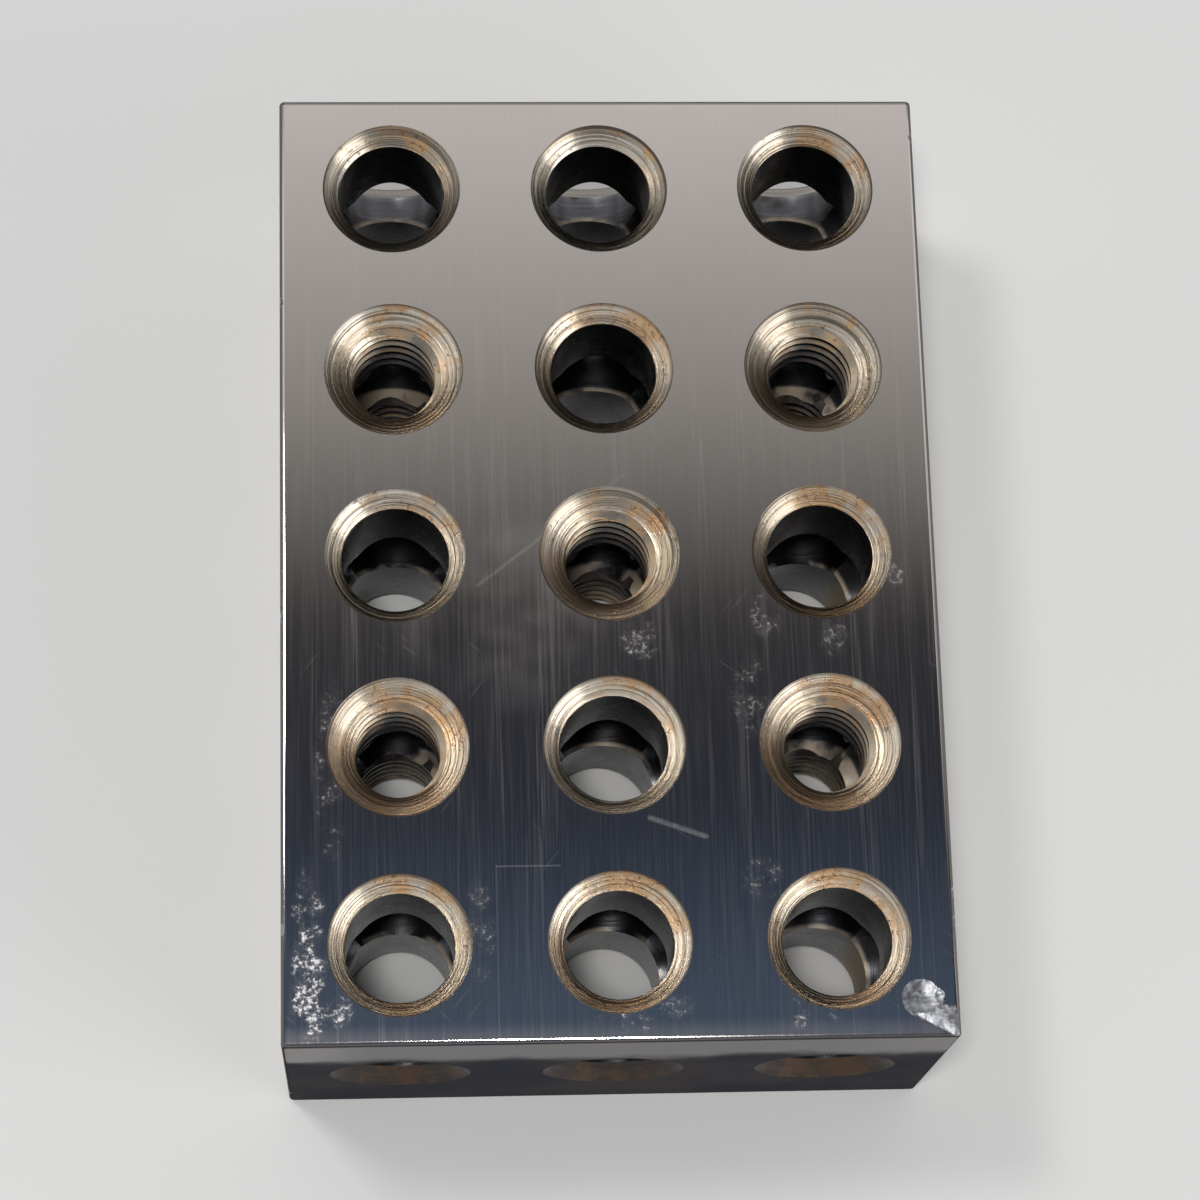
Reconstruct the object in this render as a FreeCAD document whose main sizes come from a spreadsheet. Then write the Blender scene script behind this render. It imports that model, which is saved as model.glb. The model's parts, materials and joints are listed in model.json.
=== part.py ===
import FreeCAD, Part
import os

import Sketcher

# A 1-2-3 setup block: one piece of hardened and ground steel, lying on its 2 x 3 inch face.
# X runs across the 2 inch width, Y along the 3 inch length, Z up through the 1 inch thickness.
# The origin is the centre of the bottom face. Three families of holes cross at mid-thickness.

doc = FreeCAD.newDocument("SetupBlock")

# Driving sizes, in millimetres and degrees

drivingSizes = [
    ("blockWidth", 50.8, "2 in, along X"),
    ("blockLength", 76.2, "3 in, along Y"),
    ("blockThickness", 25.4, "1 in, along Z"),
    ("edgeBreak", 0.4, "flat stoned on each of the twelve outer edges"),
    ("columnPitch", 16.51, "0.65 in between the three columns of holes, along X"),
    ("rowPitch", 15.24, "0.60 in between the five rows of holes, along Y"),
    ("plainBore", 8.33, "21/64 in clearance holes through the thickness"),
    ("tapDrill", 6.6, "5/16-18 tapped holes, across the crests of the thread"),
    ("sideBore", 8.33, "21/64 in clearance holes through the width"),
    ("endBore", 8.33, "21/64 in clearance holes through the length"),
    ("plainMouth", 10.9, "countersinks of the plain holes in the two faces"),
    ("tappedMouth", 10.9, "countersinks of the tapped holes in the two faces"),
    ("sideMouth", 10.9, "countersinks of the holes in the two long sides"),
    ("endMouth", 10.9, "countersinks of the holes in the two ends"),
    ("countersinkAngle", 90.0, "included angle of every countersink"),
    ("bruiseInset", 2.8, "bruise's middle, in from the right side and from the front end"),
    ("bruiseRadius", 10.0, "radius of the hollow that the blow left in the top face"),
    ("bruiseDepth", 0.25, "depth of that hollow"),
]

sizes = doc.addObject("Spreadsheet::Sheet", "Sizes")
for row, (alias, value, note) in enumerate(drivingSizes, 1):
    sizes.set(f"A{row}", alias)
    sizes.set(f"B{row}", str(value))
    sizes.set(f"C{row}", note)
    sizes.setAlias(f"B{row}", alias)
doc.recompute()

# Hole places, counted in whole pitches from the centre of the face that the drill enters.
# The tapped holes stand in a five of dice round the middle of the face.

columns = (-1, 0, 1)
rows = (-2, -1, 0, 1, 2)
facePlaces = [(column, row) for row in rows for column in columns]
tappedPlaces = [(column, row) for column, row in facePlaces if abs(column) == abs(row)]
plainPlaces = [place for place in facePlaces if place not in tappedPlaces]
sidePlaces = [(row, 0) for row in rows]
endPlaces = [(column, 0) for column in columns]


def size(alias):
    return float(sizes.get(alias))


def originPlane(body, role):
    return next(plane for plane in body.Origin.OriginFeatures if plane.Role == role)


def planeSketch(body, name, role, height):
    """A sketch parallel to one of the body's origin planes, at a height along its normal."""
    sketch = body.newObject("Sketcher::SketchObject", name)
    sketch.AttachmentSupport = [(originPlane(body, role), "")]
    sketch.MapMode = "FlatFace"
    sketch.setExpression("AttachmentOffset.Base.z", height)
    return sketch


def dimension(sketch, expression, *constraint):
    """Add a constraint that has a size, and tie that size to the sheet."""
    index = sketch.addConstraint(Sketcher.Constraint(*constraint))
    sketch.setExpression(f"Constraints[{index}]", expression)


def centredRectangle(sketch, width, length):
    """Four lines round the sketch's origin, sized by two names of the sheet."""
    x, y = size(width) / 2, size(length) / 2
    corners = [FreeCAD.Vector(*corner) for corner in ((-x, -y), (x, -y), (x, y), (-x, y))]
    for start, end in zip(corners, corners[1:] + corners[:1]):
        sketch.addGeometry(Part.LineSegment(start, end), False)
    for line in range(4):
        sketch.addConstraint(Sketcher.Constraint("Coincident", line, 2, (line + 1) % 4, 1))
        sketch.addConstraint(Sketcher.Constraint("Vertical" if line % 2 else "Horizontal", line))
    sketch.addConstraint(Sketcher.Constraint("Symmetric", 0, 1, 2, 1, -1, 1))
    dimension(sketch, f"Sizes.{width}", "DistanceX", 0, 1, 0, 2, 2 * x)
    dimension(sketch, f"Sizes.{length}", "DistanceY", 1, 1, 1, 2, 2 * y)


def placeCentre(sketch, circle, direction, count, pitch):
    """Hold a circle's centre a whole number of pitches from the sketch's origin."""
    if count == 0:
        axis = -2 if direction == "DistanceX" else -1
        sketch.addConstraint(Sketcher.Constraint("PointOnObject", circle, 3, axis))
        return
    ends = (-1, 1, circle, 3) if count > 0 else (circle, 3, -1, 1)
    distance = abs(count) * size(pitch)
    dimension(sketch, f"{abs(count)} * Sizes.{pitch}", direction, *ends, distance)


def holeCentres(body, name, role, height, places, pitches, bore):
    """A sketch with one circle for each hole of a family."""
    sketch = planeSketch(body, name, role, height)
    radius = size(bore) / 2
    for counts in places:
        x, y = (count * size(pitch) for count, pitch in zip(counts, pitches))
        ring = Part.Circle(FreeCAD.Vector(x, y), FreeCAD.Vector(0, 0, 1), radius)
        circle = sketch.addGeometry(ring, False)
        for direction, count, pitch in zip(("DistanceX", "DistanceY"), counts, pitches):
            placeCentre(sketch, circle, direction, count, pitch)
        dimension(sketch, f"Sizes.{bore} / 2", "Radius", circle, radius)
    return sketch


def requireCut(body, volumeBefore, name):
    if body.Shape.Volume >= volumeBefore:
        raise RuntimeError(f"{name} removed nothing from the block")


def drillFamily(body, name, role, through, places, pitches, bore, mouth):
    """Drill a family straight through and countersink it, then countersink its far side."""
    centres = holeCentres(
        body, name + "Centres", role, f"Sizes.{through} / 2", places, pitches, bore
    )
    volume = body.Shape.Volume
    hole = body.newObject("PartDesign::Hole", name)
    hole.Profile = centres
    doc.recompute()
    hole.DepthType = "ThroughAll"
    hole.HoleCutType = "Countersink"
    hole.HoleCutCustomValues = True
    hole.setExpression("Diameter", f"Sizes.{bore}")
    hole.setExpression("HoleCutDiameter", f"Sizes.{mouth}")
    hole.setExpression("HoleCutCountersinkAngle", "Sizes.countersinkAngle")
    doc.recompute()
    requireCut(body, volume, name)

    volume = body.Shape.Volume
    farSide = body.newObject("PartDesign::Mirrored", name + "FarSide")
    farSide.Originals = [hole]
    farSide.MirrorPlane = (originPlane(body, role), [""])
    body.Tip = farSide
    doc.recompute()
    requireCut(body, volume, farSide.Name)


# The blank: ground square about the body's own origin, and then its edges are broken

block = doc.addObject("PartDesign::Body", "SetupBlock")
block.Label = "setup_block"
block.setExpression("Placement.Base.z", "Sizes.blockThickness / 2")

outline = planeSketch(block, "FaceOutline", "XY_Plane", "0 mm")
centredRectangle(outline, "blockWidth", "blockLength")
blank = block.newObject("PartDesign::Pad", "Blank")
blank.Profile = outline
blank.SideType = "Symmetric"
blank.setExpression("Length", "Sizes.blockThickness")
doc.recompute()

edgeBreaks = block.newObject("PartDesign::Chamfer", "EdgeBreaks")
edgeBreaks.Base = (blank, [f"Edge{number + 1}" for number in range(len(blank.Shape.Edges))])
edgeBreaks.setExpression("Size", "Sizes.edgeBreak")
doc.recompute()

# The holes: two families through the large faces, one through the sides, one through the ends

facePitches = ("columnPitch", "rowPitch")
drillFamily(block, "PlainHoles", "XY_Plane", "blockThickness", plainPlaces, facePitches,
            "plainBore", "plainMouth")
drillFamily(block, "TappedHoles", "XY_Plane", "blockThickness", tappedPlaces, facePitches,
            "tapDrill", "tappedMouth")
drillFamily(block, "SideHoles", "YZ_Plane", "blockWidth", sidePlaces, ("rowPitch",) * 2,
            "sideBore", "sideMouth")
drillFamily(block, "EndHoles", "XZ_Plane", "blockLength", endPlaces, ("columnPitch",) * 2,
            "endBore", "endMouth")

# One blow near a corner of the top face. The ball's poles lie level, clear of the hollow.

volume = block.Shape.Volume
bruise = block.newObject("PartDesign::SubtractiveSphere", "CornerBruise")
bruise.AttachmentSupport = [(originPlane(block, "XZ_Plane"), "")]
bruise.MapMode = "FlatFace"
bruise.setExpression("Radius", "Sizes.bruiseRadius")
bruise.setExpression("AttachmentOffset.Base.x", "Sizes.blockWidth / 2 - Sizes.bruiseInset")
bruise.setExpression(
    "AttachmentOffset.Base.y",
    "Sizes.blockThickness / 2 + Sizes.bruiseRadius - Sizes.bruiseDepth",
)
bruise.setExpression("AttachmentOffset.Base.z", "Sizes.blockLength / 2 - Sizes.bruiseInset")
block.Tip = bruise
doc.recompute()
requireCut(block, volume, bruise.Name)

# Nothing is written unless every feature stands and the block is one sound solid

failed = [item.Name for item in doc.Objects if {"Invalid", "Error"} & set(item.State)]
if failed:
    raise RuntimeError(f"failed features: {failed}")
if block.Shape.isNull() or not block.Shape.isValid() or len(block.Shape.Solids) != 1:
    raise RuntimeError("the block is not one valid solid")

os.makedirs("parts", exist_ok=True)
block.Shape.exportStep(f"parts/{block.Label}.step")
print(f"{block.Label}: {block.Shape.Volume:.1f} mm3, {len(block.Shape.Faces)} faces")
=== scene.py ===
import json
import math
import random

import bmesh
import bpy
from mathutils import Matrix, Vector, noise


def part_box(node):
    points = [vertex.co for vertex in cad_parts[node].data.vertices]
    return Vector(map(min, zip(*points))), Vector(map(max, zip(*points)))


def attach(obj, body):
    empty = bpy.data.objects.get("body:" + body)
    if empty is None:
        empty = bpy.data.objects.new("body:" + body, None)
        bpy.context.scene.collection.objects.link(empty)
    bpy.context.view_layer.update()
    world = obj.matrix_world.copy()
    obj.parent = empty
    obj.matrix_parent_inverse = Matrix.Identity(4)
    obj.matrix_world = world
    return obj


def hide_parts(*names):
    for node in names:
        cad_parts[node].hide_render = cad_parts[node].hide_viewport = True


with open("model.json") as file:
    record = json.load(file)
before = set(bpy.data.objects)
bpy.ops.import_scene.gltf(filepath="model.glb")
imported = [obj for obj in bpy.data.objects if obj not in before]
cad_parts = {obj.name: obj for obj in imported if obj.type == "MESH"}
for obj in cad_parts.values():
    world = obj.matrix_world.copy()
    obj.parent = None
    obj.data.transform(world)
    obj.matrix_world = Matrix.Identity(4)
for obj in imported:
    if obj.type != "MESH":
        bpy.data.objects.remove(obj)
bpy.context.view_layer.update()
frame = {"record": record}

# A hardened steel setup block, 2 by 3 by 1 inches: the ground blank, its crossing holes
# with their countersinks and threads, and the wear of a used one. Everything is in metres.

nodeName = "setup_block"
low, high = (Vector(corner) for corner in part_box(nodeName))
blockSize = high - low
blockCentre = (low + high) / 2
mm = 0.001
roundHoles = [m for m in frame["record"]["mounts"] if m["kind"] in ("bore", "threaded_hole")]


def axisOf(hole):
    return max(range(3), key=lambda i: abs(hole["axis"][i]))  # 0, 1 or 2 for X, Y or Z


def boreRadius(hole):
    return hole["dims"]["r_mm"] * mm


def sinkDepth(hole):
    return (blockSize[axisOf(hole)] - hole["dims"]["length_mm"] * mm) / 2  # the straight wall is the rest


def holeCentre(hole):
    centre = Vector(hole["pos_m"])
    centre[axisOf(hole)] = blockCentre[axisOf(hole)]
    return centre


faceHoles = [h for h in roundHoles if axisOf(h) == 2]
tappedHoles = [h for h in roundHoles if h["kind"] == "threaded_hole"]
sideHoles = [h for h in roundHoles if axisOf(h) == 0]
endHoles = [h for h in roundHoles if axisOf(h) == 1]

cameraView = {
    "place": (-0.0181, -0.0826, 0.2906),
    "roll": 11.3,   # degrees
    "lens": 108.0,  # on a 36 mm wide sensor
}


def makeCamera(values):
    lens = bpy.data.cameras.new("camera")
    lens.lens = values["lens"]
    lens.clip_start = 0.01
    lens.clip_end = 20.0
    camera = bpy.data.objects.new("camera", lens)
    bpy.context.collection.objects.link(camera)
    place = Vector(values["place"])
    turn = (blockCentre - place).to_track_quat("-Z", "Y").to_matrix()
    turn = turn @ Matrix.Rotation(math.radians(values["roll"]), 3, "Z")
    camera.matrix_world = Matrix.Translation(place) @ turn.to_4x4()
    bpy.context.scene.camera = camera


makeCamera(cameraView)
bpy.context.scene.view_settings.view_transform = "Standard"
print("camera placed")


class Value:
    # one number on a surface: Python's operators on it add Math nodes
    def __init__(self, tree, socket):
        self.tree = tree
        self.socket = socket

    def math(self, operation, *others):
        inputs = dict(enumerate((self,) + others))
        return self.tree.add("ShaderNodeMath", {"operation": operation}, inputs).out()

    def __add__(self, other):
        return self.math("ADD", other)

    def __radd__(self, other):
        return self.math("ADD", other)

    def __sub__(self, other):
        return self.math("SUBTRACT", other)

    def __rsub__(self, other):
        return self.tree.number(other).math("SUBTRACT", self)

    def __mul__(self, other):
        return self.math("MULTIPLY", other)

    def __truediv__(self, other):
        return self.math("DIVIDE", other)

    def __pow__(self, other):
        return self.math("POWER", other)

    def __gt__(self, other):
        return self.math("GREATER_THAN", other)

    def __lt__(self, other):
        return self.math("LESS_THAN", other)

    def __abs__(self):
        return self.math("ABSOLUTE")

    def atMost(self, limit=1.0):
        return self.math("MINIMUM", limit)

    def smooth(self, start, end):
        # 0 at start, 1 at end, with soft ends
        node = self.tree.add("ShaderNodeMapRange", {"interpolation_type": "SMOOTHSTEP"},
                             {"Value": self, "From Min": start, "From Max": end})
        return node.out()


class Node:
    def __init__(self, tree, node):
        self.tree = tree
        self.node = node

    def out(self, name=None):
        # a named output, or the first one that is in use
        if name is None:
            return Value(self.tree, next(s for s in self.node.outputs if s.enabled))
        return Value(self.tree, next(s for s in self.node.outputs if s.enabled and s.name == name))


class Tree:
    def __init__(self, owner):
        owner.use_nodes = True
        self.nodes = owner.node_tree.nodes
        self.links = owner.node_tree.links
        self.nodes.clear()

    def add(self, kind, settings=None, sockets=None):
        # settings come first, because some of them change which sockets a node has
        node = self.nodes.new(kind)
        for name, value in (settings or {}).items():
            if name == "stops":
                self.setStops(node.color_ramp, value)
            else:
                setattr(node, name, value)
        shown = [s for s in node.inputs if s.enabled]
        for name, value in (sockets or {}).items():
            socket = shown[name] if isinstance(name, int) else next(s for s in shown if s.name == name)
            if isinstance(value, Node):
                value = value.out()
            if isinstance(value, Value):
                self.links.new(value.socket, socket)
            else:
                socket.default_value = value
        return Node(self, node)

    def setStops(self, ramp, stops):
        while len(ramp.elements) < len(stops):
            ramp.elements.new(1.0)
        for element, (place, colour) in zip(ramp.elements, stops):
            element.position = place
            element.color = (*colour, 1.0)

    def number(self, value):
        node = self.nodes.new("ShaderNodeValue")
        node.outputs[0].default_value = value
        return Value(self, node.outputs[0])

    def mix(self, factor, first, second):
        node = self.add("ShaderNodeMix", {"data_type": "RGBA"},
                        {"Factor": factor, "A": opaque(first), "B": opaque(second)})
        return node.out()

    def stretch(self, place, scale):
        return self.add("ShaderNodeVectorMath", {"operation": "MULTIPLY"}, {0: place, 1: scale}).out()

    def noise(self, place, scale=1.0, detail=2.0, roughness=0.5, distortion=0.0):
        return self.add("ShaderNodeTexNoise", {}, {"Vector": place, "Scale": scale, "Detail": detail,
                                                  "Roughness": roughness, "Distortion": distortion}).out()

    def turned(self, place, degrees):
        return self.add("ShaderNodeMapping", {"vector_type": "POINT"},
                        {"Vector": place, "Rotation": (0.0, 0.0, math.radians(degrees))}).out()

    def objectPlace(self):
        return self.add("ShaderNodeTexCoord").out("Object")

    def split(self, vector):
        node = self.add("ShaderNodeSeparateXYZ", {}, {0: vector})
        return [node.out(name) for name in "XYZ"]

    def inMm(self, place):
        return self.split(self.stretch(place, (1 / mm,) * 3))

    def bump(self, height):
        # height is in metres
        return self.add("ShaderNodeBump", {}, {"Strength": 1.0, "Distance": 1.0, "Height": height})

    def surface(self, sockets):
        return self.add("ShaderNodeBsdfPrincipled", {}, sockets)

    def finish(self, surface):
        self.add("ShaderNodeOutputMaterial", {}, {"Surface": surface})


def opaque(colour):
    return (*colour, 1.0) if isinstance(colour, tuple) and len(colour) == 3 else colour


studio = {
    # what the polished steel reflects, from straight up (0) down to the pale horizon (1)
    "reach": 0.60,
    "steps": [
        (0.000, (0.04, 0.06, 0.08)),
        (0.225, (0.08, 0.12, 0.19)),
        (0.280, (0.03, 0.04, 0.06)),
        (0.345, (0.04, 0.04, 0.045)),
        (0.395, (0.31, 0.31, 0.30)),
        (0.510, (0.85, 0.85, 0.85)),
        (0.600, (0.90, 0.90, 0.89)),
    ],
    "asideShare": 0.30,     # how much wider the dark ceiling is to the sides
    "behindShare": 0.22,    # and over the viewer's side
    "shift": (-0.06, 0.05),     # of the middle, aside and ahead
    "lowest": 0.02,             # keeps the slope finite at the horizon
    "backDim": 0.55,            # how much darker the far wall is
    "backFrom": (0.62, 1.1),
    "backRise": (0.12, 0.30),
    "level": 1.0,
}


def makeWorld(values):
    world = bpy.data.worlds.new("studio")
    bpy.context.scene.world = world
    tree = Tree(world)
    x, y, z = tree.split(tree.add("ShaderNodeTexCoord").out("Generated"))
    height = z.math("MAXIMUM", values["lowest"])
    shiftAside, shiftAhead = values["shift"]
    ahead = y / height + shiftAhead
    aside = (x / height + shiftAside) * values["asideShare"]
    front = ahead.math("MAXIMUM", 0.0)
    behind = ahead.math("MINIMUM", 0.0) * values["behindShare"]
    spread = (front * front + behind * behind + aside * aside) ** 0.5
    stops = [(place / values["reach"], shade) for place, shade in values["steps"]]
    colour = tree.add("ShaderNodeValToRGB", {"stops": stops}, {0: spread / values["reach"]}).out("Color")
    backWall = ahead.smooth(*values["backFrom"]) * z.smooth(*values["backRise"]) * values["backDim"]
    strength = (1.0 - backWall) * values["level"]
    background = tree.add("ShaderNodeBackground", {}, {"Color": colour, "Strength": strength})
    tree.add("ShaderNodeOutputWorld", {}, {"Surface": background})


makeWorld(studio)

lamps = {
    "skylight": {"place": (-0.21, 0.13, 0.57), "side": 0.10, "watts": 0.9, "colour": (1.0, 0.99, 0.98)},
    "overhead": {"place": (-0.07, -0.12, 0.62), "side": 0.08, "watts": 1.8, "colour": (1.0, 0.99, 0.98)},
    "window": {"place": (0.50, -0.28, 0.23), "side": 0.45, "watts": 1.5, "colour": (1.0, 0.985, 0.96)},
}


def makeLamp(name, values):
    lamp = bpy.data.lights.new(name, "AREA")
    lamp.shape = "SQUARE"
    lamp.size = values["side"]
    lamp.energy = values["watts"]
    lamp.color = values["colour"]
    light = bpy.data.objects.new(name, lamp)
    bpy.context.collection.objects.link(light)
    place = Vector(values["place"])
    turn = (blockCentre - place).to_track_quat("-Z", "Y").to_matrix()
    light.matrix_world = Matrix.Translation(place) @ turn.to_4x4()


for name, values in lamps.items():
    makeLamp(name, values)

floorCard = {
    "radius": 4.0,
    "colour": (0.62, 0.62, 0.61),
}


def newObject(name, bm):
    mesh = bpy.data.meshes.new(name)
    bm.to_mesh(mesh)
    bm.free()
    made = bpy.data.objects.new(name, mesh)
    bpy.context.collection.objects.link(made)
    return made


def makeFloor(values):
    bm = bmesh.new()
    bmesh.ops.create_circle(bm, cap_ends=True, segments=96, radius=values["radius"])
    floor = newObject("floor", bm)
    material = bpy.data.materials.new("paleCard")
    tree = Tree(material)
    surface = tree.surface({
        "Base Color": opaque(values["colour"]),
        "Roughness": 0.9,
        "Specular IOR Level": 0.2,
    })
    tree.finish(surface)
    floor.data.materials.append(material)
    return floor


floor = makeFloor(floorCard)
print("world, lamps and floor made")

slotNames = ["groundSteel", "sinkSteel", "boreSteel", "threadSteel", "bruisedSteel"]
groundSlot, sinkSlot, boreSlot, threadSlot, bruiseSlot = range(5)

blank = {
    "edgeBreak": 0.4 * mm,
    "edgeSteps": 4,
}

drill = {
    "steps": 96,
    "past": 2 * mm,     # how far a cutter stands past the face
}

tap = {
    "majorRadius": 7.94 / 2 * mm,   # 5/16 inch, 18 threads to the inch
    "pitch": 25.4 / 18 * mm,
    "crestFlat": 0.125,             # of a pitch
    "rootFlat": 0.25,               # of a pitch
    "sunk": 0.06 * mm,              # the screw's core lies this far inside the drilled wall
    "past": 0.63,                   # of a pitch, how far it stands past the face
    "steps": 60,
}

bruise = {
    # where a hard knock bit the near right corner; places in mm from that corner, into the block
    "grid": 84,
    "reach": 5.2,
    "bowl": (2.95, 3.0, 1.45, 0.24),        # in from the side, in from the end, radius, depth
    "lip": (1.75, 3.15, 0.55, 0.12),
    "crease": ((3.75, 1.8), (0.35, -0.1)),  # from its inner end to the corner
    "creaseDepth": 0.2,
    "creaseFade": 0.9,
    "rough": 0.012,
    "above": 0.08,          # how far outside the knock the cutter floats over the face
    "creaseRamp": 0.5,      # how softly the crease begins
    "overhang": 0.8,        # of the cutter past the corner
    "height": 1.5,          # of the cutter over the face
}

nicks = {
    "seed": 12,
    "count": 9,
    "radius": (0.25, 0.6),      # mm
    "bite": (0.03, 0.10),       # mm
    "topShare": 0.7,            # of them lie on the top edges
    "span": 0.92,               # of an edge, where they may lie
    "lumps": 0.22,              # of the radius
    "stretch": 1.7,             # along the edge
}


def turnToAxis(axis):
    # takes a shape made round Z to one round X, Y or Z
    if axis == 2:
        return Matrix.Identity(4)
    return Matrix.Rotation(math.pi / 2, 4, "YX"[axis])


def makeBlank(values):
    bm = bmesh.new()
    bmesh.ops.create_cube(bm, size=1.0)
    bmesh.ops.scale(bm, vec=blockSize, verts=bm.verts)
    bmesh.ops.translate(bm, vec=blockCentre, verts=bm.verts)
    bmesh.ops.bevel(bm, geom=bm.edges[:], offset=values["edgeBreak"], segments=values["edgeSteps"],
                    profile=0.5, affect="EDGES", material=-1)
    return newObject("setupBlock", bm)


def spinProfile(bm, profile, steps, rise=0.0):
    # turns a list of (radius, height) once round Z, rising at each step for a screw
    verts = [bm.verts.new((radius, 0, height)) for radius, height in profile]
    edges = [bm.edges.new(pair) for pair in zip(verts, verts[1:])]
    bmesh.ops.spin(bm, geom=verts + edges, cent=(0, 0, 0), axis=(0, 0, 1), dvec=(0, 0, rise),
                   angle=math.tau, steps=steps, use_merge=rise == 0.0, use_duplicate=False)
    bmesh.ops.remove_doubles(bm, verts=bm.verts, dist=1e-6)


def addTo(whole, part, place):
    # moves one cutter into place and puts it in the mesh with the others
    bmesh.ops.recalc_face_normals(part, faces=part.faces)
    bmesh.ops.transform(part, matrix=place, verts=part.verts)
    mesh = bpy.data.meshes.new("part")
    part.to_mesh(mesh)
    part.free()
    whole.from_mesh(mesh)
    bpy.data.meshes.remove(mesh)


def drillCutter(name, holes, values):
    whole = bmesh.new()
    for hole in holes:
        part = bmesh.new()
        half = blockSize[axisOf(hole)] / 2
        bore, sink, past = boreRadius(hole), sinkDepth(hole), values["past"]
        outer, end = bore + sink + past, half + past
        profile = [(0, -end), (outer, -end), (bore, sink - half), (bore, half - sink), (outer, end), (0, end)]
        spinProfile(part, profile, values["steps"])
        for face in part.faces:
            straight = all(abs(v.co.z) < half - sink * 0.9 for v in face.verts)
            face.material_index = boreSlot if straight else sinkSlot
        addTo(whole, part, Matrix.Translation(holeCentre(hole)) @ turnToAxis(axisOf(hole)))
    return newObject(name, whole)


def tapCutter(name, holes, values):
    whole = bmesh.new()
    pitch, crest = values["pitch"], values["majorRadius"]
    half = blockSize.z / 2 + pitch * values["past"]
    turns = math.ceil(2 * half / pitch) + 2
    flank = pitch * (1 - values["crestFlat"] - values["rootFlat"]) / 2
    for hole in holes:
        part = bmesh.new()
        root = boreRadius(hole) - values["sunk"]
        profile = []
        for turn in range(turns):
            foot = (turn - turns / 2) * pitch
            rise = foot + pitch * values["rootFlat"] + flank
            profile += [(root, foot), (root, rise - flank)]
            profile += [(crest, rise), (crest, rise + pitch * values["crestFlat"])]
        profile.append((root, turns / 2 * pitch))
        spinProfile(part, profile, values["steps"], pitch / values["steps"])
        for end in (-1, 1):
            bmesh.ops.bisect_plane(part, geom=part.verts[:] + part.edges[:] + part.faces[:], dist=1e-8,
                                   plane_co=(0, 0, end * half), plane_no=(0, 0, end), clear_outer=True)
            rim = [edge for edge in part.edges
                   if edge.is_boundary and all(abs(v.co.z - end * half) < 1e-6 for v in edge.verts)]
            bmesh.ops.holes_fill(part, edges=rim, sides=0)
        for face in part.faces:
            face.material_index = threadSlot
        addTo(whole, part, Matrix.Translation(holeCentre(hole)))
    return newObject(name, whole)


def bruiseDepth(place, values):
    # how deep the knock goes at a place, in mm; below zero is above the face
    inX, inY = place.x, place.y
    above, ramp = values["above"], values["creaseRamp"]
    depth = -above
    for centreX, centreY, radius, deepest in (values["bowl"], values["lip"]):
        spread = ((inX - centreX) ** 2 + (inY - centreY) ** 2) / radius ** 2
        depth = max(depth, deepest * (1.0 - spread))
    start, end = (Vector(point) for point in values["crease"])
    along = (end - start).normalized()
    offset = Vector((inX, inY)) - start
    forward = offset.dot(along)
    aside = offset.x * along.y - offset.y * along.x     # towards the side face
    if aside > -above and forward > -ramp / 2:
        step = min(1.0, (aside + above) / (2 * above)) * min(1.0, (forward + ramp / 2) / ramp)
        fall = math.exp(-max(aside, 0) / values["creaseFade"])
        depth = max(depth, step * values["creaseDepth"] * fall - 0.02)
    rough = noise.fractal(Vector((inX, inY, 3.0)) * 1.7, 0.6, 2.0, 4) * values["rough"]
    return depth + rough


def bruiseCutter(values):
    bm = bmesh.new()
    half = values["reach"] / 2
    inner = half - values["overhang"]
    bmesh.ops.create_grid(bm, x_segments=values["grid"], y_segments=values["grid"], size=half)
    for vert in bm.verts:
        inward = Vector((inner - vert.co.x, inner + vert.co.y, 0))
        offset = Vector((-inward.x, inward.y, -bruiseDepth(inward, values)))
        vert.co = Vector((high.x, low.y, high.z)) + mm * offset
    lifted = bmesh.ops.extrude_face_region(bm, geom=bm.faces[:])
    lifted = [v for v in lifted["geom"] if isinstance(v, bmesh.types.BMVert)]
    for vert in lifted:
        vert.co.z = high.z + values["height"] * mm
    for face in bm.faces:
        face.material_index = bruiseSlot
    bmesh.ops.recalc_face_normals(bm, faces=bm.faces)
    return newObject("bruiseCutter", bm)


def nickCutter(values):
    # small knocks along the outer edges, each a lumpy ball that bites a little way in
    draw = random.Random(values["seed"])
    whole = bmesh.new()
    reach = blockSize / 2
    for index in range(values["count"]):
        along = draw.choice((0, 0, 1, 1, 1, 2))
        corner = [draw.choice((-1, 1)) * size for size in reach]
        if draw.random() < values["topShare"]:
            corner[2] = reach.z
        corner[along] = draw.uniform(-values["span"], values["span"]) * reach[along]
        radius = draw.uniform(*values["radius"]) * mm
        bite = draw.uniform(*values["bite"]) * mm
        outward = Vector([0 if i == along else math.copysign(1, corner[i]) for i in range(3)]).normalized()
        edge = blockCentre + Vector(corner) - outward * blank["edgeBreak"] * 0.586
        part = bmesh.new()
        bmesh.ops.create_icosphere(part, subdivisions=2, radius=radius)
        for vert in part.verts:
            vert.co *= 1 + values["lumps"] * noise.noise(vert.co / radius * 1.3 + Vector((index * 7.0, 0, 0)))
            vert.co[along] *= values["stretch"]
        addTo(whole, part, Matrix.Translation(edge + outward * (radius - bite)))
    for face in whole.faces:
        face.material_index = bruiseSlot
    return newObject("nickCutter", whole)


def cutFrom(target, cutter):
    modifier = target.modifiers.new(cutter.name, "BOOLEAN")
    modifier.operation = "DIFFERENCE"
    modifier.solver = "MANIFOLD"
    modifier.object = cutter
    cut = bpy.data.meshes.new_from_object(target.evaluated_get(bpy.context.evaluated_depsgraph_get()))
    target.modifiers.clear()
    target.data = cut
    print(cutter.name, "leaves", len(cut.polygons), "faces")
    bpy.data.objects.remove(cutter)


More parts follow.
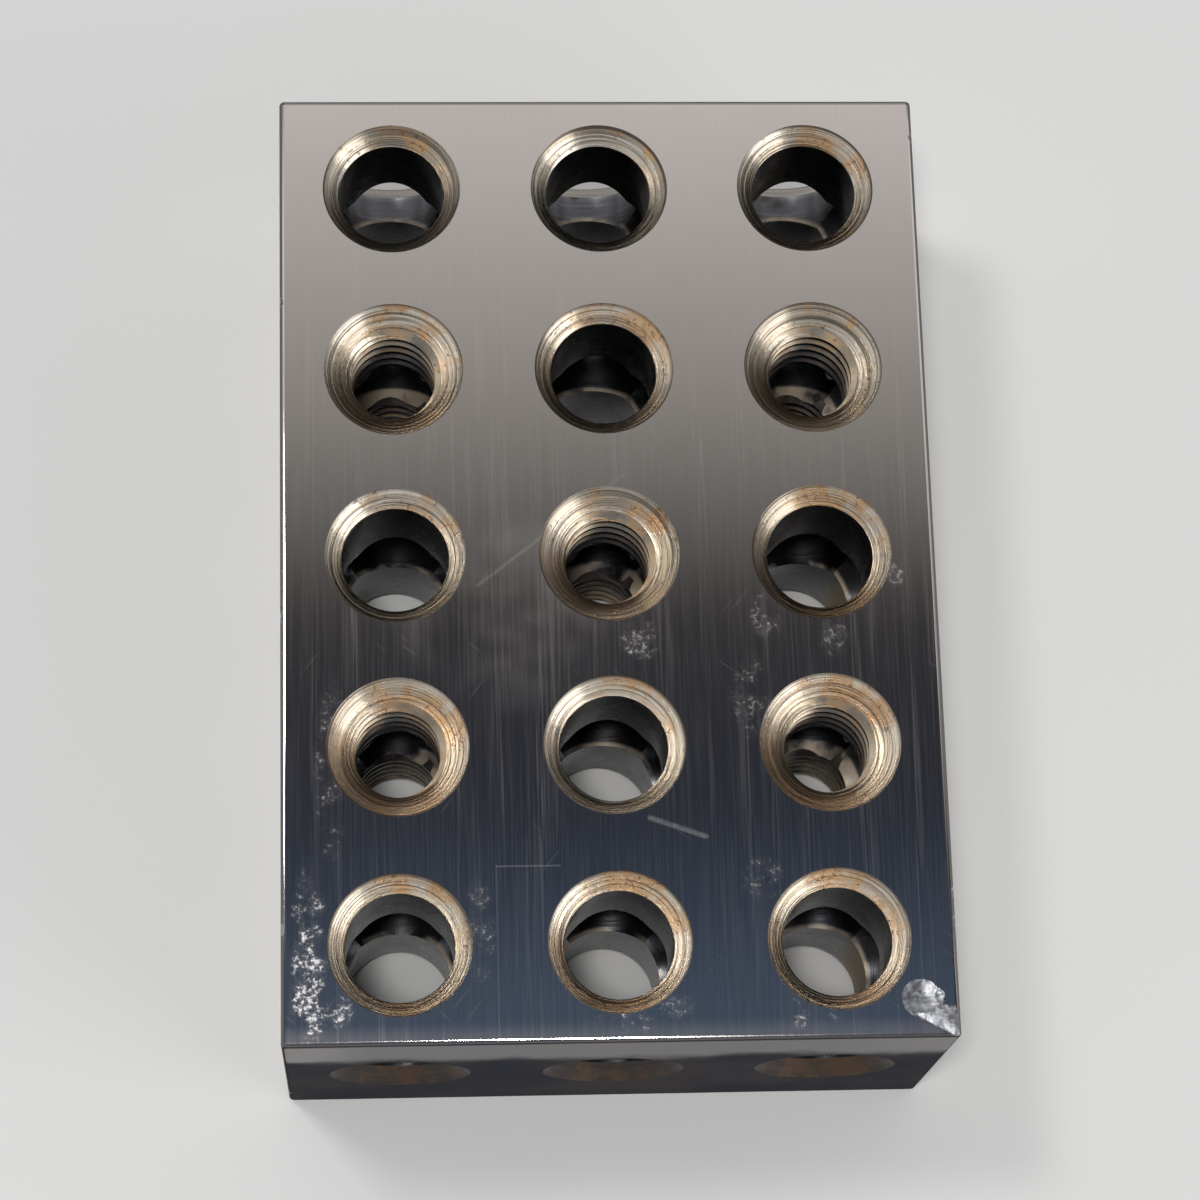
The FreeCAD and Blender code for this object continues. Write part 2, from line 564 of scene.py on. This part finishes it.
def holeOf(place, slot):
    # the hole whose wall passes nearest to a place
    best = None
    for number, hole in enumerate(roundHoles):
        axis = axisOf(hole)
        offset = place - holeCentre(hole)
        depth = blockSize[axis] / 2 - abs(offset[axis])
        offset[axis] = 0
        wall = boreRadius(hole) + (max(sinkDepth(hole) - depth, 0) if slot == sinkSlot else 0)
        gap = abs(offset.length - wall)
        if best is None or gap < best[0]:
            best = (gap, number)
    return best[1]


def mapTurned(mesh):
    # a UV map that runs round each hole and down its wall, and a number that tells the holes apart
    turned = mesh.uv_layers.new(name="turned")
    chance = mesh.attributes.new("holeChance", "FLOAT", "FACE")
    draw = random.Random(5)
    chances = [draw.random() for _ in roundHoles]
    for polygon in mesh.polygons:
        if polygon.material_index not in (sinkSlot, boreSlot, threadSlot):
            continue
        number = holeOf(polygon.center, polygon.material_index)
        hole = roundHoles[number]
        axis, centre = axisOf(hole), holeCentre(hole)
        first, second = [(1, 2), (0, 2), (0, 1)][axis]
        middle = polygon.center - centre
        middleTurn = math.atan2(middle[second], middle[first]) / math.tau
        chance.data[polygon.index].value = chances[number]
        for corner in polygon.loop_indices:
            offset = mesh.vertices[mesh.loops[corner].vertex_index].co - centre
            turn = math.atan2(offset[second], offset[first]) / math.tau
            turn += round(middleTurn - turn)
            depth = blockSize[axis] / 2 - abs(offset[axis])
            turned.data[corner].uv = (turn, depth / mm / 10)


def shadeFaces(mesh, sharpAngle=38):
    # flat faces stay flat, and turned and rounded ones are smooth up to their edges
    bm = bmesh.new()
    bm.from_mesh(mesh)
    for face in bm.faces:
        face.smooth = not (face.material_index == groundSlot and max(abs(c) for c in face.normal) > 0.9999)
    for edge in bm.edges:
        faces = edge.link_faces
        edge.smooth = (len(faces) == 2 and faces[0].smooth and faces[1].smooth
                       and faces[0].material_index == faces[1].material_index
                       and edge.calc_face_angle(0) < math.radians(sharpAngle))
    bm.to_mesh(mesh)
    bm.free()


block = makeBlank(blank)
slotMaterials = [bpy.data.materials.new(name) for name in slotNames]
cutters = [
    drillCutter("faceDrill", faceHoles, drill),
    tapCutter("tap", tappedHoles, tap),
    drillCutter("sideDrill", sideHoles, drill),
    drillCutter("endDrill", endHoles, drill),
    bruiseCutter(bruise),
    nickCutter(nicks),
]
for piece in [block] + cutters:
    for material in slotMaterials:
        piece.data.materials.append(material)
for cutter in cutters:
    cutFrom(block, cutter)
mapTurned(block.data)
shadeFaces(block.data)
print("block cut")

groundFinish = {
    "steel": (0.585, 0.538, 0.512),
    "cloudy": (0.52, 0.475, 0.45),
    "bright": (0.40, 0.45, 0.51),       # where the skin is broken
    "paintedShadeDim": (0.10, 0.095, 0.10),         # painted shade on the front end and the edges, toned down to suit the main view
    "paintedShadeDark": (0.026, 0.028, 0.036),   # painted shade, standing for a dark reflection, low on the front end
    # a second tone of that painted shade
    "paintedShadeMottle": (0.045, 0.040, 0.042),
    "polish": 0.055,                    # roughness
    "lineDepth": 0.0000011,
    "alongLines": (5200.0, 90.0, 5200.0),
    "acrossLines": (90.0, 5200.0, 5200.0),
    # fine slanting scratches: turn in degrees, scale, and how rare they are
    "hairs": [
        (38, (3600.0, 160.0, 400.0), (0.74, 0.80)),
        (-52, (3200.0, 190.0, 400.0), (0.75, 0.81)),
    ],
    "flakes": 2600.0,                   # to the metre
    # places on the top face in mm: middle, half sizes, strength
    "scuffs": [
        ((-23.3, -31.0), (1.7, 8.0), 0.85),
        ((-22.3, -35.3), (2.8, 2.5), 0.70),
        ((-21.4, -17.5), (1.8, 8.5), 0.40),
        ((10.8, -25.8), (2.0, 1.9), 0.70),
        ((13.2, -36.0), (1.0, 1.6), 0.65),
        ((0.2, -36.6), (3.2, 1.0), 0.60),
        ((2.2, -7.0), (1.9, 1.9), 0.55),
        ((12.0, -5.2), (1.5, 2.2), 0.65),
        ((17.2, -7.0), (1.4, 2.0), 0.45),
        ((22.0, -1.6), (1.2, 1.6), 0.60),
        ((16.0, -35.6), (1.0, 1.4), 0.70),
        ((4.0, -35.4), (1.6, 1.2), 0.55),
        ((10.5, -11.5), (1.8, 4.0), 0.40),
        ((-10.6, -29.5), (1.6, 4.5), 0.45),
    ],
    # scratches on the top face in mm: start, end, half width, strength
    "scratches": [
        ((-9.2, -24.6), (-4.4, -24.6), 0.09, 0.12),
        ((-9.2, -24.6), (-9.2, -37.5), 0.09, 0.06),
        ((2.5, -21.0), (6.7, -22.5), 0.30, 0.15),
        ((-10.2, -2.5), (1.3, 6.4), 0.20, 0.07),
    ],
    # a hazy rubbed patch, in mm
    "haze": ((-7.5, -4.5), (10.0, 9.0), 0.10),
}


def patch(x, y, middle, halfSizes):
    # 1 in the middle of an oval on the top face, fading to 0 at its rim
    across = (x - middle[0]) / halfSizes[0]
    down = (y - middle[1]) / halfSizes[1]
    return (across * across + down * down).smooth(1.0, 0.25)


def stroke(x, y, start, end, halfWidth):
    # 1 along a straight scratch, fading to 0 at its half width
    runX, runY = end[0] - start[0], end[1] - start[1]
    fromX, fromY = x - start[0], y - start[1]
    share = (fromX * runX + fromY * runY) / (runX * runX + runY * runY)
    share = share.math("MAXIMUM", 0.0).atMost()
    offX, offY = fromX - share * runX, fromY - share * runY
    return ((offX * offX + offY * offY) ** 0.5).smooth(halfWidth, halfWidth * 0.2)


def groundSteel(material, values):
    tree = Tree(material)
    place = tree.objectPlace()
    x, y, z = tree.inMm(place)
    normalX, normalY, normalZ = tree.split(tree.add("ShaderNodeNewGeometry").out("True Normal"))
    onTop = z > (high.z / mm - 0.02)
    onEnd = abs(normalY) > 0.7
    onNearEnd = normalY < -0.7
    onCorner = (abs(normalX) < 0.97) * (abs(normalY) < 0.97) * (abs(normalZ) < 0.97)

    # grinding lines run the length of the block, and across its ends
    along, across = (tree.stretch(place, values[name]) for name in ("alongLines", "acrossLines"))
    lines = tree.mix(onEnd, along, across)
    fine = tree.noise(lines, 1.0, 2.0, 0.65)
    broad = tree.noise(lines, 0.23, 1.0, 0.5)
    hairs = 0.0
    for turn, scale, rare in values["hairs"]:
        hairs = tree.noise(tree.stretch(tree.turned(place, turn), scale), 1.0, 1.0, 0.5).smooth(*rare) + hairs
    streak = broad.smooth(0.48, 0.78) * fine.smooth(0.40, 0.7)
    cloud = tree.noise(place, 90.0, 3.0, 0.6)
    flake = tree.noise(place, values["flakes"], 3.0, 0.7, 0.3)

    scuff = 0.0
    for middle, halfSizes, strength in values["scuffs"]:
        scuff = patch(x, y, middle, halfSizes) * strength + scuff
    torn = tree.noise(place, 520.0, 3.0, 0.65).smooth(0.38, 0.62)
    scuff = (scuff * torn * 1.3).atMost()
    chips = (flake + scuff * 0.13).smooth(0.55, 0.80) * scuff * 0.60

    scratch = 0.0
    for start, end, halfWidth, strength in values["scratches"]:
        scratch = stroke(x, y, start, end, halfWidth) * strength + scratch
    scratch = scratch * flake * 2.0

    middle, halfSizes, strength = values["haze"]
    haze = patch(x, y, middle, halfSizes) * cloud.smooth(0.35, 0.75) * strength
    frontRub = y.smooth(low.y / mm + 1.9, low.y / mm + 0.5) * 0.10     # by the near edge

    worn = ((chips + scratch) * onTop).atMost()
    dull = worn + (haze + frontRub + scuff * 0.05 + hairs * 0.05) * onTop
    dull = dull + streak * 0.07 + fine.smooth(0.35, 0.75) * 0.03
    # painted shade: the front end darkens towards the bottom
    lowEnd = onNearEnd * (z + (cloud - 0.5) * 7.0).smooth(20.5, 17.0)
    paintedShadeLow = lowEnd * 0.96

    colour = tree.mix(cloud.smooth(0.3, 0.8) * 0.25, values["steel"], values["cloudy"])
    # painted shade: the front end and the edges are darkened
    colour = tree.mix(onNearEnd * 0.45 + onCorner * 0.35, colour, values["paintedShadeDim"])
    colour = tree.mix(paintedShadeLow, colour, values["paintedShadeDark"])
    colour = tree.mix(worn * 0.9, colour, values["bright"])
    bump = tree.bump((fine + broad * 0.8) * values["lineDepth"])
    surface = tree.surface({
        "Base Color": colour,
        "Metallic": 1.0 - (dull * 0.6 + paintedShadeLow * 0.95).atMost(),
        "Roughness": cloud * 0.03 + values["polish"] + dull * 0.45 + paintedShadeLow * 0.30 + onCorner * 0.25,
        "Normal": bump,
        "Specular IOR Level": 0.18,
    })
    # a dull dark layer of painted shade over the front end and the edges
    paintedShadeSkin = tree.surface({
        "Base Color": tree.mix(cloud.smooth(0.3, 0.7), values["paintedShadeDark"], values["paintedShadeMottle"]),
        "Roughness": 0.9,
        "Specular IOR Level": 0.0,
    })
    paintedShadeCover = (onNearEnd * 0.50 + lowEnd * 0.44 + onCorner * 0.68).atMost()
    both = tree.add("ShaderNodeMixShader", {}, {"Fac": paintedShadeCover, 1: surface, 2: paintedShadeSkin})
    tree.finish(both)


turnedFinish = {
    "pale": (0.57, 0.53, 0.465),
    "gold": (0.31, 0.265, 0.21),
    "copper": (0.48, 0.28, 0.13),
    "paintedArcShade": (0.21, 0.185, 0.155),     # painted shade on the front arc of each one, toned down to suit the main view
    # grime, also used as painted shade over the countersinks on the front end
    "grimeAndShade": (0.034, 0.029, 0.027),
    "rust": (0.085, 0.048, 0.028),
    "ringDepth": 0.000030,
}


def turnedPlace(tree):
    # turns round the hole, depth below its face in mm, and the hole's own chance number
    turn, depth, _ = tree.split(tree.add("ShaderNodeUVMap", {"uv_map": "turned"}).out())
    chance = tree.add("ShaderNodeAttribute", {"attribute_name": "holeChance"}).out("Fac")
    angle = turn * math.tau
    return angle.math("COSINE"), angle.math("SINE"), depth * 10.0, chance


def gather(tree, x, y, z):
    node = tree.add("ShaderNodeCombineXYZ", {}, {"X": x, "Y": y, "Z": z})
    return node.out()


def sinkSteel(material, values):
    tree = Tree(material)
    place = tree.objectPlace()
    cosine, sine, depth, chance = turnedPlace(tree)
    normalY = tree.split(tree.add("ShaderNodeNewGeometry").out("True Normal"))[1]
    shift = chance * 40.0
    rings = tree.noise(gather(tree, depth * 6.5 + shift, cosine * 0.3, sine * 0.3), 1.0, 2.0, 0.7)
    broadRings = tree.noise(gather(tree, depth * 2.6 + shift, cosine * 0.25, sine * 0.25), 1.0, 1.0, 0.5)
    chatter = tree.noise(gather(tree, cosine * 17.0 + shift, sine * 17.0, depth * 2.0), 1.0, 2.0, 0.6)
    blotch = tree.noise(place, 420.0, 4.0, 0.6)
    specks = tree.noise(place, 2600.0, 3.0, 0.7)

    farSide = (cosine * 0.45 + sine * 0.89).smooth(0.2, 0.95)
    stained = (blotch + farSide * 0.14 + (chance - 0.5) * 0.12).smooth(0.56, 0.76) * farSide
    grimeAndShade = (rings.smooth(0.50, 0.36) * 0.80 + depth.smooth(0.26, 0.02) * 0.7
             + (specks + blotch * 0.4).smooth(0.78, 0.88) * 0.5).atMost()
    onFront = tree.split(place)[1] < (low.y + 4 * mm)
    outerFace = (normalY < -0.05) * onFront
    rusted = outerFace * (blotch + specks * 0.4 - sine * 0.06).smooth(0.66, 0.86) * 0.7

    colour = tree.mix(broadRings.smooth(0.3, 0.7), values["gold"], values["pale"])
    # painted shade on the front arc of each countersink
    colour = tree.mix((sine * -1.0 - cosine * 0.15).smooth(-0.25, 0.8) * 0.75, colour, values["paintedArcShade"])
    colour = tree.mix(stained * 0.8, colour, values["copper"])
    # grime in the rings, and painted shade that darkens the countersinks on the front end
    colour = tree.mix((grimeAndShade * 0.85 + outerFace * 0.96).atMost(), colour, values["grimeAndShade"])
    colour = tree.mix(rusted, colour, values["rust"])
    dirty = (grimeAndShade * 0.35 + stained * 0.15 + outerFace * 0.6).atMost()
    height = (rings + broadRings * 1.2 + chatter * 0.2) * values["ringDepth"]
    bump = tree.bump(height)
    surface = tree.surface({
        "Base Color": colour,
        "Metallic": 1.0 - dirty * 0.6,
        "Roughness": (rings - 0.5) * 0.12 + 0.20 + dirty * 0.35,
        "Normal": bump,
        "Specular IOR Level": 0.3,
    })
    tree.finish(surface)


boreFinish = {
    "oxide": (0.060, 0.062, 0.070),
    # worn metal, also laid as painted light on faces turned upwards
    "worn": (0.24, 0.24, 0.26),
    "brown": (0.055, 0.038, 0.028),
    "tan": (0.42, 0.33, 0.22),
    "rust": (0.38, 0.13, 0.05),
    "markDepth": 0.000014,
}
columnPitch = max(h["pos_m"][0] for h in endHoles) / mm
rowPitch = max(h["pos_m"][1] for h in sideHoles) / mm / 2


def foldedRadius(x, y):
    # how far a place is from the nearest upright hole's axis, in mm
    fromX = x - (x / columnPitch).math("ROUND") * columnPitch
    fromY = y - (y / rowPitch).math("ROUND") * rowPitch
    return (fromX * fromX + fromY * fromY) ** 0.5


def boreSteel(material, values):
    tree = Tree(material)
    place = tree.objectPlace()
    x, y, z = tree.inMm(place)
    cosine, sine, depth, chance = turnedPlace(tree)
    normalX, _, normalZ = tree.split(tree.add("ShaderNodeNewGeometry").out("Normal"))
    shift = chance * 30.0
    marks = tree.noise(gather(tree, depth * 3.0 + shift, cosine * 0.6, sine * 0.6), 1.0, 2.0, 0.65)
    blotch = tree.noise(place, 300.0, 3.0, 0.6)
    specks = tree.noise(place, 2200.0, 2.0, 0.7)

    # painted light: bore faces turned upwards are made lighter, as if lit from above
    upFacingLit = normalZ.smooth(0.30, 0.85)
    wall = boreRadius(endHoles[0]) / mm
    # tan on the upward ledges by the crossings: partly dust, partly painted light
    ledge = upFacingLit * foldedRadius(x, y).smooth(wall + 0.5, wall + 0.15)
    rightWall = (x > 19.0) * z.smooth(9.5, 8.5) * normalX.smooth(-0.6, -0.9)
    worn = (depth.smooth(1.8, 1.3) * 0.4 + marks.smooth(0.55, 0.75) * 0.30 + upFacingLit * 0.30).atMost()
    brown = blotch.smooth(0.55, 0.70) * 0.7
    tanAndLitLedges = (ledge * 0.6 * blotch.smooth(0.36, 0.56) + rightWall * 0.95).atMost()
    rusted = tanAndLitLedges * (specks * 0.5 + blotch * 0.5).smooth(0.60, 0.66)

    colour = tree.mix(worn, values["oxide"], values["worn"])
    colour = tree.mix(brown, colour, values["brown"])
    colour = tree.mix(tanAndLitLedges, colour, values["tan"])
    colour = tree.mix(rusted, colour, values["rust"])
    bump = tree.bump((marks + specks * 0.3) * values["markDepth"])
    surface = tree.surface({
        "Base Color": colour,
        "Metallic": 1.0 - tanAndLitLedges * 0.8,
        "Roughness": blotch * 0.15 + 0.20 + tanAndLitLedges * 0.3,
        "Normal": bump,
    })
    tree.finish(surface)


threadFinish = {
    "gold": (0.58, 0.48, 0.36),
    # near black, for dark specks and for painted shade deep in the hole
    "deep": (0.055, 0.050, 0.055),
    "stain": (0.50, 0.30, 0.14),
    "fades": (2.5, 7.5),    # where the painted shade deepens, in mm below the face
}


def threadSteel(material, values):
    tree = Tree(material)
    place = tree.objectPlace()
    cosine, sine, depth, _ = turnedPlace(tree)
    blotch = tree.noise(place, 500.0, 4.0, 0.6)
    specks = tree.noise(place, 2600.0, 3.0, 0.7)
    # painted shade: darker deeper down the thread
    deep = (depth + (blotch - 0.5) * 3.0).smooth(*values["fades"])
    stained = (blotch + (cosine * 0.5 + sine * 0.8) * 0.1).smooth(0.52, 0.7)
    colour = tree.mix(stained * 0.7, values["gold"], values["stain"])
    colour = tree.mix(specks.smooth(0.58, 0.72) * 0.6, colour, values["deep"])
    colour = tree.mix(deep * 0.9, colour, values["deep"])
    bump = tree.bump(specks * 0.000008)
    surface = tree.surface({
        "Base Color": colour,
        "Metallic": 1.0 - stained * 0.3,
        "Roughness": blotch * 0.2 + 0.2,
        "Normal": bump,
    })
    tree.finish(surface)


bruisedFinish = {
    "bright": (0.30, 0.31, 0.33),
    "dark": (0.12, 0.12, 0.13),
}


def bruisedSteel(material, values):
    tree = Tree(material)
    place = tree.objectPlace()
    crush = tree.noise(place, 1300.0, 3.0, 0.55, 0.4)
    smear = tree.noise(tree.stretch(place, (1500.0, 4200.0, 3000.0)), 1.0, 3.0, 0.6)
    colour = tree.mix((crush * 0.6 + smear * 0.4).smooth(0.62, 0.42), values["bright"], values["dark"])
    bump = tree.bump(crush * 0.000012 + smear * 0.00001)
    surface = tree.surface({
        "Base Color": colour,
        "Metallic": 0.6,
        "Roughness": crush * 0.3 + 0.2,
        "Normal": bump,
    })
    tree.finish(surface)


groundSteel(slotMaterials[groundSlot], groundFinish)
sinkSteel(slotMaterials[sinkSlot], turnedFinish)
boreSteel(slotMaterials[boreSlot], boreFinish)
threadSteel(slotMaterials[threadSlot], threadFinish)
bruisedSteel(slotMaterials[bruiseSlot], bruisedFinish)
print("finishes made")

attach(block, "root")
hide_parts(nodeName)
